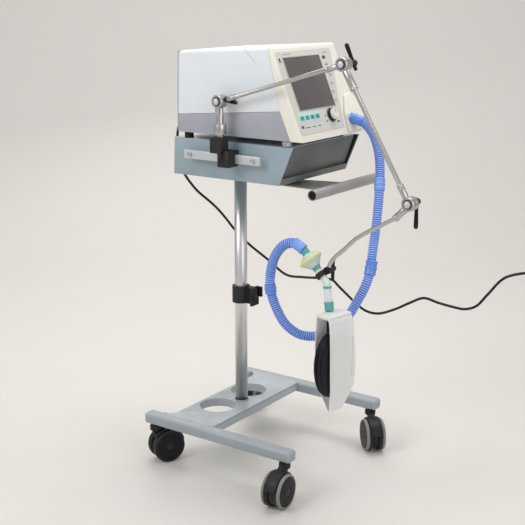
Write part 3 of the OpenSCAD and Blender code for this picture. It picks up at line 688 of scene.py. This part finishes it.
# teal key strip
rbox("key_strip", P(1.0, -170, 50), P(1.7, -66, 82), 0.0003, MT["teal"], "root", 2, M=FACE)
for k in range(4):
    kb = "key_%d" % (k + 1)
    o1 = rbox("k1", P(-5.5, -163.6 + k * 25, 59.3), P(2.9, -146.4 + k * 25, 70.7), 0.0009, MT["key"], kb, 3, M=FACE)
    o2 = rbox("k2", P(-6.5, -165.8 + k * 25, 57.2), P(-4.95, -144.2 + k * 25, 72.8), 0.0003, MT["key"], kb, 2, M=FACE)
    sh = [[(-4, 0), (4, 0)], [(0, -2.5), (0, 2.5)], [(-3, -1.5), (3, 1.5)], [(-3, 1.5), (3, -1.5)]][k]
    (ya, za), (yb, zb) = sh
    o3 = rbox("k3", P(2.7, min(ya, yb) - 0.5 - 155 + k * 25, min(za, zb) - 0.5 + 65), P(3.1, max(ya, yb) + 0.5 - 155 + k * 25, max(za, zb) + 0.5 + 65), 0.0001, MT["keylt"], kb, 1, M=FACE)
    o = join("soft_key_%d" % (k + 1), [o1, o2, o3], kb)
    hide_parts(kb)
# small round membrane keys, lamps and plain marks
for i, (y, z, w, h, mm) in enumerate([(-165, 41, 12, 7, "dark"), (-170, 228, 7, 12, "dark"), (-140, 38, 22, 2, "dark"), (-110, 38, 16, 2, "dark"), (-84, 38, 14, 2, "dark"),
        (48, 226, 16, 9, "dark"), (50, 205, 14, 3, "dark"), (52, 175, 12, 10, "frame"), (46, 150, 12, 8, "frame"), (40, 126, 12, 8, "frame"), (38, 100, 11, 8, "frame"),
        (14, 60, 6, 6, "frame"), (-40, 62, 9, 6, "frame"), (-40, 46, 9, 3, "dark"), (16, 40, 14, 4, "dark"), (-130, 244, 40, 2.5, "frame"), (60, 240, 26, 3, "frame"), (-20, 74, 26, 2, "frame")]):
    rbox("panel_mark_%02d" % i, P(1.0, y - w / 2, z - h / 2), P(1.75, y + w / 2, z + h / 2), 0.0003, MT[mm], "root", 2, M=FACE)
# knob
kp = F(1.0, -10, 60.7)
lathe_ring("knob_collar", [(0, 0.0178), (0, 0.0205), (0.0012, 0.0201), (0.0018, 0.0192), (0.0018, 0.0178)], kp, NRM, MT["dark"], "root", 64)
o1 = lathe("kn1", [(0.0022, 0.0168), (0.003, 0.0172), (0.0075, 0.0172), (0.0085, 0.0166)], kp, NRM, MT["black"], "knob_turn", 72, ribs=36, rib=-0.02)
o2 = lathe("kn2", [(0.0085, 0.0150), (0.0150, 0.0138), (0.0165, 0.0130), (0.0172, 0.0112), (0.0166, 0.0095), (0.0164, 0.0)], kp, NRM, MT["knob"], "knob_turn", 72, ribs=24, rib=-0.015)
o3 = rbox("kn3", P(17.2, -11, 66), P(18.2, -9, 72), 0.0003, MT["dark"], "knob_turn", 2, M=FACE)
o = join("control_knob", [o1, o2, o3], "knob_turn")
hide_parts("knob_cap")
# port housing
ph = [(48, 4), (146, 4), (150, 46), (138, 96), (112, 118), (84, 110), (56, 60)]
o = prism("port_block", [(a * MM, b * MM) for a, b in ph], 0.0001, 0.009, MT["cream"], "root", r=0.0032, seg=4, plane="yz", M=FACE)
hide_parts("port_housing")
lathe_ring("port_collar", [(0, 0.0092), (0, 0.0165), (0.0035, 0.0165), (0.005, 0.0150), (0.005, 0.0092)], P(251.5, 70, 1056), (1, 0, 0), MT["port"], "root", 48)
d0 = (hose_pts[1] - hose_pts[0]).normalized()
lathe("hose_cuff_machine", [(-0.004, 0.0125), (-0.003, 0.0148), (0.006, 0.0152), (0.008, 0.0146), (0.026, 0.0142), (0.028, 0.0150), (0.031, 0.0150), (0.033, 0.0140)], hose_pts[0], d0, MT["hose2"], "root", angle=30)
# seam strip of the removable cover, parallel to the front frame
o = prism("cover_seam", zx([(71, 1252.9), (72.4, 1253), (108, 1217), (106.5, 1217)]), vy0 - 0.0002, vy0 + 0.001, MT["frame"], "root", r=0)
# painted shade: a black sheet on the inner face of the tray's far side panel, in front of the dark panel
prism("tray_inner_shade", zx([(168, 892), (176.5, 892), (220, 994), (206, 994)]), 0.1732, 0.1739, MT["black"], "root", r=0)
prism("tray_front_lip", zx([(177.1, 889.5), (177.5, 889.5), (185.0, 907), (184.7, 907)]), -0.1738, 0.1738, MT["traydark"], "root", r=0)
# light metal sleeve round the foot under the near front corner, a painted highlight for the light this one foot
# catches; the other feet stay dark rubber
lathe("front_foot_painted_highlight_sleeve", [(0.9975, 0.0134), (0.999, 0.0138), (1.011, 0.0138), (1.0125, 0.0130)], P(195, -165, 0), (0, 0, 1), MT["steel2"], "root")

# ------------------------------------------------------------------ support arm details
P1, P2, P3 = P(16, 0, 1113), P(406, 0, 1228), P(603, 0, 896)
def ypt(p, y):
    return V((p.x, y * MM, p.z))
for i, (p, body) in enumerate([(P1, "arm_base"), (P2, "arm_second"), (P3, "arm_second")]):
    lathe_ring("joint_rim_%d" % (i + 1), [(0, 0.0125), (0, 0.0176), (0.0012, 0.0172), (0.0022, 0.0160), (0.0022, 0.0135), (0.0014, 0.0125)], ypt(p, -238.2), (0, -1, 0), MT["steel"], body)
    lathe("joint_groove_%d" % (i + 1), [(0, 0.0128), (0.0008, 0.0128)], ypt(p, -238.2), (0, -1, 0), MT["dark"], body)
    lathe("joint_bolt_%d" % (i + 1), [(0.0006, 0.0100), (0.0050, 0.0100), (0.0058, 0.0090)], ypt(p, -238.2), (0, -1, 0), MT["steel2"], body, 6)
    lathe("joint_dome_%d" % (i + 1), [(0.0056, 0.0078), (0.0064, 0.0070), (0.0072, 0.0050), (0.0075, 0.0)], ypt(p, -238.2), (0, -1, 0), MT["rail"], body, 40)
    lathe("joint_washer_%d" % (i + 1), [(0, 0.0165), (0.0005, 0.0165)], ypt(p, -225.2), (0, 1, 0), MT["dark"], body, caps=True)
def collar(name, a, b, s0, s1, y, r, m, body):
    d = (b - a).normalized()
    o = ypt(a, y) + V((d.x, 0, d.z)) * s0
    L = s1 - s0
    return lathe(name, [(0, r * 0.96), (0.0008, r), (L - 0.0008, r), (L, r * 0.96)], o, (d.x, 0, d.z), MT[m], body)
n12, n23 = (P2 - P1).length, (P3 - P2).length
collar("arm_1_band_a", P1, P2, 0.0175, 0.024, -218.2, 0.0082, "black", "arm_first")
collar("arm_1_ring_a", P1, P2, 0.046, 0.0515, -218.2, 0.0080, "steel2", "arm_first")
collar("arm_1_ring_b", P1, P2, n12 - 0.0585, n12 - 0.052, -218.2, 0.0085, "steel2", "arm_first")
collar("arm_2_ring_a", P2, P3, 0.0655, 0.0715, -231.8, 0.0101, "steel2", "arm_second")
collar("arm_2_ring_b", P2, P3, n23 - 0.0535, n23 - 0.047, -231.8, 0.0090, "steel2", "arm_second")
collar("arm_3_ring_a", P3, P(560, 0, 853), 0.055, 0.0625, -218.2, 0.0097, "steel2", "arm_third")
# bent rod as one smooth tube
bend = [P(603, -218.2, 896), P(560, -218.2, 853), P(521, -218.2, 831), P(448, -218.2, 786), P(412, -218.2, 752), P(385, -218.2, 728), P(369, -218.2, 705), P(365, -218.2, 690)]
bp, BL = resample(catmull(bend[1:], 0.002), 0.004)
o1 = sweep("r1", [bend[0] + (bend[1] - bend[0]).normalized() * 0.017] + bp, 0.0055, 24, MT["steel"], "arm_third")
dd = (bend[1] - bend[0]).normalized()
o2 = lathe("r2", [(0.020, 0.0085), (0.0215, 0.0092), (0.060, 0.0090), (0.0615, 0.0082)], bend[0], dd, MT["steel"], "arm_third")
o3 = lathe_ring("r3", [(0, 0.0062), (0, 0.0172), (0.001, 0.018), (0.0122, 0.018), (0.0131, 0.0172), (0.0131, 0.0062)], ypt(P3, -224.8), (0, 1, 0), MT["steel"], "arm_third")
o = join("arm_third_rod", [o1, o2, o3], "arm_third")
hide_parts("arm_link_3")
# levers
def lever(name, x, z, y0, y1, ang, l, back, body):
    c = P(x, (y0 + y1) / 2 + 2, z)
    a = math.radians(ang)
    d = V((math.cos(a), 0, math.sin(a)))
    h = lathe_ring("l1", [(0, 0.0062), (0, 0.0076), (0.0012, 0.0080), ((y1 - y0) * MM - 0.0015, 0.0080), ((y1 - y0) * MM, 0.0072), ((y1 - y0) * MM, 0.0062)], P(x, y0, z), (0, 1, 0), MT["black"], body, 40)
    h2 = lathe("l2", [((y1 - y0) * MM - 0.0025, 0.0065), ((y1 - y0) * MM - 0.0004, 0.0065), ((y1 - y0) * MM, 0.0045)], P(x, y0, z), (0, 1, 0), MT["screw"], body, 6)
    prof = [(-back * MM, 0.0025), (-back * MM + 0.0015, 0.0044), (0, 0.0054), (l * MM * 0.35, 0.0046), (l * MM * 0.8, 0.0056), (l * MM, 0.0058), (l * MM + 0.004, 0.0044), (l * MM + 0.0055, 0.0018)]
    b = lathe("l3", prof, c, d, MT["black"], body, 28, angle=50)
    o = join(name + "_handle", [h, h2, b], body)
    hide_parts(name)
lever("lever_1", 16, 1113, -211.3, -196, -5, 36, 4, "lever_1")
lever("lever_2", 406, 1228, -192, -170, 115, 48, 20, "lever_2")
lever("lever_3", 603, 896, -203, -182, -90, 64, 10, "lever_3")
lever("lever_tip", 365, 690, -205, -189, 90, 22, 34, "lever_tip")

# ------------------------------------------------------------------ filter and connectors
FA = math.radians(136.4)
FD = V((math.sin(FA), 0, math.cos(FA)))
FO = P(292.5, -225, 735.5)
B3 = "arm_third"
parts = [
    lathe("f1", [(0.000, 0.0100), (0.001, 0.0112), (0.003, 0.0118), (0.0045, 0.0112), (0.013, 0.0118), (0.0142, 0.0138)], FO, FD, MT["tealc"], B3),
    lathe("f2", [(0.0140, 0.0120), (0.0155, 0.0170), (0.020, 0.0225), (0.0262, 0.0288)], FO, FD, MT["clear"], B3, 64),
    lathe("f2b", [(0.0260, 0.0288), (0.0268, 0.0300), (0.0286, 0.0300)], FO, FD, MT["clear"], B3, 64),
    lathe("f3", [(0.0284, 0.0290), (0.0290, 0.0322), (0.0300, 0.0329), (0.0314, 0.0329), (0.0320, 0.0320), (0.0325, 0.0320), (0.0331, 0.0329), (0.0342, 0.0329), (0.0350, 0.0322), (0.0356, 0.0295)], FO, FD, MT["yellow"], B3, 72, ribs=36, rib=-0.008),
    lathe("f4", [(0.0354, 0.0298), (0.0374, 0.0298), (0.0378, 0.0288), (0.043, 0.0242), (0.050, 0.0180), (0.0555, 0.0138)], FO, FD, MT["clear"], B3, 64),
    lathe("f5", [(0.055, 0.0138), (0.057, 0.0120), (0.061, 0.0112), (0.066, 0.0109)], FO, FD, MT["tealc"], B3),
    lathe("f6", [(0.0266, 0.0040), (0.0266, 0.0280), (0.0370, 0.0280), (0.0370, 0.0040)], FO, FD, MT["lung"], B3, 64),
    lathe("f7", [(0, 0.0042), (0.012, 0.0042), (0.014, 0.0052), (0.017, 0.0052), (0.0175, 0.002)], FO + FD * 0.046 + V((0.0, 0, 0.012)), (0.30, -0.2, 0.93), MT["tealc"], B3, 24),
]
o = join("breathing_filter", parts, B3)
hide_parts("filter")
d1 = (hose_pts[23] - hose_pts[22]).normalized()
lathe("hose_cuff_filter", [(-0.030, 0.0142), (-0.029, 0.0150), (-0.026, 0.0150), (-0.024, 0.0143), (-0.004, 0.0146), (-0.001, 0.0152), (0.004, 0.0150), (0.005, 0.0128)], hose_pts[23], d1, MT["cuff"], "arm_third", angle=30)
E1 = FO + FD * 0.106
VD = V((math.sin(math.radians(173)), 0, math.cos(math.radians(173))))
ep = [E1 - FD * 0.0398, E1 - FD * 0.012]
for k in range(1, 9):
    t = k / 9
    ep.append((E1 - FD * 0.012) * (1 - t) ** 2 + E1 * 2 * t * (1 - t) + (E1 + VD * 0.012) * t * t)
ep += [E1 + VD * 0.012, E1 + VD * 0.055]
parts = [sweep("c1", resample(ep, 0.003)[0], 0.0104, 32, MT["clear"], B3),
         lathe("c2", [(0.0525, 0.0112), (0.0535, 0.0126), (0.057, 0.0130), (0.059, 0.0124), (0.070, 0.0122), (0.072, 0.0130), (0.075, 0.0128), (0.0755, 0.0118)], E1, VD, MT["tealc"], B3, angle=30),
         lathe("c3", [(0.004, 0.0106), (0.005, 0.0116), (0.009, 0.0116), (0.010, 0.0106)], E1 + VD * 0.006, VD, MT["tealc"], B3, angle=30)]
o = join("elbow_connector", parts, B3)
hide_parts("lung_connector")

# ------------------------------------------------------------------ test lung
LM = Matrix.Translation(P(388, -224, 0)) @ Matrix.Rotation(math.radians(-13), 4, "Z")
def leaf(name, s):
    if s > 0:
        prof = [(578, 14), (572, 23), (565, 28.6), (548, 31), (520, 33.2), (480, 34.4), (440, 34.9), (405, 33), (375, 30.8), (350, 21.8), (325, 12.8), (308, 6.7), (300.5, 4)]
    else:
        prof = [(578, 14), (572, 20), (565, 24.8), (548, 26.2), (520, 27.8), (480, 28.5), (440, 28.9), (405, 27.2), (375, 25.2), (350, 18.2), (325, 11), (308, 6.2), (300.5, 4)]
    lo_ = [-43, -43, -43, -43, -43, -43, -42.8, -40.4, -37, -29.4, -21.7, -16.5, -14.2]
    hi_ = [43, 43, 43.2, 45, 48, 50.8, 52.8, 53, 52, 49.6, 42.5, 36.6, 34.2]
    # finer rows
    rows = []
    for i in range(len(prof) - 1):
        for k in range(4):
            t = k / 4
            mx_ = lambda q0, q1: q0 * (1 - t) + q1 * t
            rows.append((mx_(prof[i][0], prof[i + 1][0]), mx_(prof[i][1], prof[i + 1][1]), mx_(lo_[i], lo_[i + 1]), mx_(hi_[i], hi_[i + 1])))
    rows.append((prof[-1][0], prof[-1][1], lo_[-1], hi_[-1]))
    bm = bmesh.new()
    grid = []
    nC = 16
    for (z, x, ya, yb) in rows:
        row = []
        for k in range(nC + 1):
            u = -1 + 2 * k / nC
            curl = 3.2 * (abs(u) ** 4)
            row.append(bm.verts.new(LM @ P(s * (x - 0.2 - curl * 0.6), (ya + yb) / 2 + u * (yb - ya) / 2, z)))
        grid.append(row)
    for i in range(len(rows) - 1):
        for k in range(nC):
            bm.faces.new((grid[i][k], grid[i][k + 1], grid[i + 1][k + 1], grid[i + 1][k]))
    bmesh.ops.recalc_face_normals(bm, faces=bm.faces)
    out = bmesh.ops.solidify(bm, geom=list(bm.faces), thickness=0.0022)
    return from_bm(bm, name, MT["lung"], B3, True, 50)
parts = [leaf("lf1", 1), leaf("lf2", -1),
         rbox("lf3", P(-24.5, -43, 568), P(25, 43, 577.8), 0.003, MT["lung"], B3, 4, M=LM),
         lathe("lf4", [(0.576, 0.0150), (0.5775, 0.0158), (0.5798, 0.0150), (0.5806, 0.0135)], LM @ P(-11.5, -3.7, 0), (0, 0, 1), MT["lung"], B3),
         rbox("lf5", P(-2, -12, 300.2), P(2, 30, 306), 0.0008, MT["lung"], B3, 3, M=LM)]
for yy_ in (-36, 38.5):
    parts.append(rbox("lfv%d" % yy_, P(32.6, yy_, 400), P(35.2, yy_ + 1.5, 514), 0.0006, MT["lung"], B3, 2, M=LM))
for k, (z0, z1) in enumerate([(512, 516)]):
    xx = 33.4
    parts.append(rbox("lr%d" % k, P(xx - 1.4, -36, z0), P(xx + 0.9, 40, z1), 0.001, MT["lung"], B3, 3, M=LM))
o = join("test_lung_leaves", parts, B3)
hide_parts("test_lung_frame")
# rubber bag: pleated ellipsoid, soft folds
bm = bmesh.new()
nz, na = 56, 176
rings = []
for i in range(nz + 1):
    t = -math.pi / 2 + math.pi * (0.02 + 0.96 * i / nz)
    z = 437 + 91.5 * math.sin(t)
    pl = math.cos(t)
    row = []
    for k in range(na):
        a = 2 * math.pi * k / na
        rx, ry = 26.0, 71.5
        w = math.cos(t) ** 0.75
        # pleats that run from neck to tip, deepest near the two sides
        side_ = abs(math.sin(a)) ** 2
        fold = 1 - 0.085 * side_ * pl * (0.5 + 0.5 * math.cos(22 * a)) - 0.01 * (0.5 + 0.5 * math.sin(5 * a + 4 * t)) * pl
        row.append(bm.verts.new(LM @ P(2.5 + rx * w * math.cos(a) * fold, 0.5 + ry * w * math.sin(a) * fold, z)))
    rings.append(row)
for i in range(nz):
    for k in range(na):
        bm.faces.new((rings[i][k], rings[i][(k + 1) % na], rings[i + 1][(k + 1) % na], rings[i + 1][k]))
bm.faces.new(rings[0][::-1])
bm.faces.new(rings[-1])
b1 = from_bm(bm, "bg1", MT["bag"], B3, True, 60)
b2 = lathe("bg2", [(0.508, 0.0078), (0.528, 0.0080), (0.540, 0.0078), (0.548, 0.0080), (0.556, 0.0080), (0.560, 0.0078), (0.579, 0.0078)], LM @ P(-11.5, -3.7, 0), (0, 0, 1), MT["bag"], B3, angle=60)
o = join("test_lung_rubber_bag", [b1, b2], B3)
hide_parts("test_lung_bag")

# ------------------------------------------------------------------ trim: handle plugs, rail screw heads
for i, (y, d) in enumerate(((-166, -1), (166, 1))):
    lathe("handle_plug_%d" % i, [(-0.012, 0.0118), (-0.0006, 0.0118), (-0.0002, 0.0112), (-0.0006, 0.004)], P(280, y, 872.5), (0, d, 0), MT["black"], "root")
for i, x in enumerate((-108, 111)):
    lathe("rail_screw_head_%d" % i, [(0, 0.0066), (0.0012, 0.0066), (0.0030, 0.0052), (0.0034, 0.0030), (0.0022, 0.0028), (0.0022, 0)], P(x, -205, 954.5), (0, -1, 0), MT["steel2"], "root", 32)

# ------------------------------------------------------------------ stage, light
back = V((fwd.x, fwd.y, 0)).normalized()
rightv = V((back.y, -back.x, 0))
prof_ = [(-9.0, 0.0), (2.2, 0.0)]
for k in range(1, 25):
    t = math.radians(90 * k / 24)
    prof_.append((2.2 + 2.4 * math.sin(t), 2.4 * (1 - math.cos(t))))
prof_.append((4.6, 9.0))
vs_, fs_ = [], []
for (dd_, hh_) in prof_:
    for w_ in (-11, 11):
        q_ = back * dd_ + rightv * w_
        vs_.append((q_.x, q_.y, hh_))
for k in range(len(prof_) - 1):
    fs_.append((2 * k, 2 * k + 1, 2 * k + 3, 2 * k + 2))
me = bpy.data.meshes.new("floor")
me.from_pydata(vs_, [], fs_)
for pg in me.polygons:
    pg.use_smooth = True
floor = bpy.data.objects.new("floor", me)
scene.collection.objects.link(floor)
fm = mat("floor_plain", (0.68, 0.655, 0.615), 0.6, bump=0.03, bs=60, var=0.015, vs=1.5)
me.materials.append(fm)
floor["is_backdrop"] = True
w = bpy.data.worlds.new("studio")
scene.world = w
w.use_nodes = True
w.node_tree.nodes["Background"].inputs[0].default_value = (0.93, 0.93, 0.95, 1)
w.node_tree.nodes["Background"].inputs[1].default_value = 0.62
def area(name, loc, at, size, power, col=(1, 1, 1)):
    l = bpy.data.lights.new(name, "AREA")
    l.energy = power
    l.size = size
    l.color = col
    o = bpy.data.objects.new(name, l)
    o.location = loc
    o.rotation_euler = (V(at) - V(loc)).to_track_quat("-Z", "Y").to_euler()
    scene.collection.objects.link(o)
area("key", (-1.2, -3.2, 3.2), (0, 0, 0.8), 1.8, 62)
area("fill", (3.6, -1.2, 1.9), (0, 0, 0.7), 2.4, 30)
area("top", (0.4, 0.6, 3.6), (0, 0, 0.6), 2.2, 40)
area("rim", (-2.4, 2.2, 2.2), (0, 0, 0.8), 1.6, 18)
area("backdrop_wash", tuple(back * 1.2 + V((0, 0, 4.6))), tuple(back * 4.4 + V((0, 0, 1.2))), 4.0, 42)
scene.view_settings.view_transform = "Standard"
scene.view_settings.look = "None"

a, b = CAD_BOX
c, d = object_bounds()
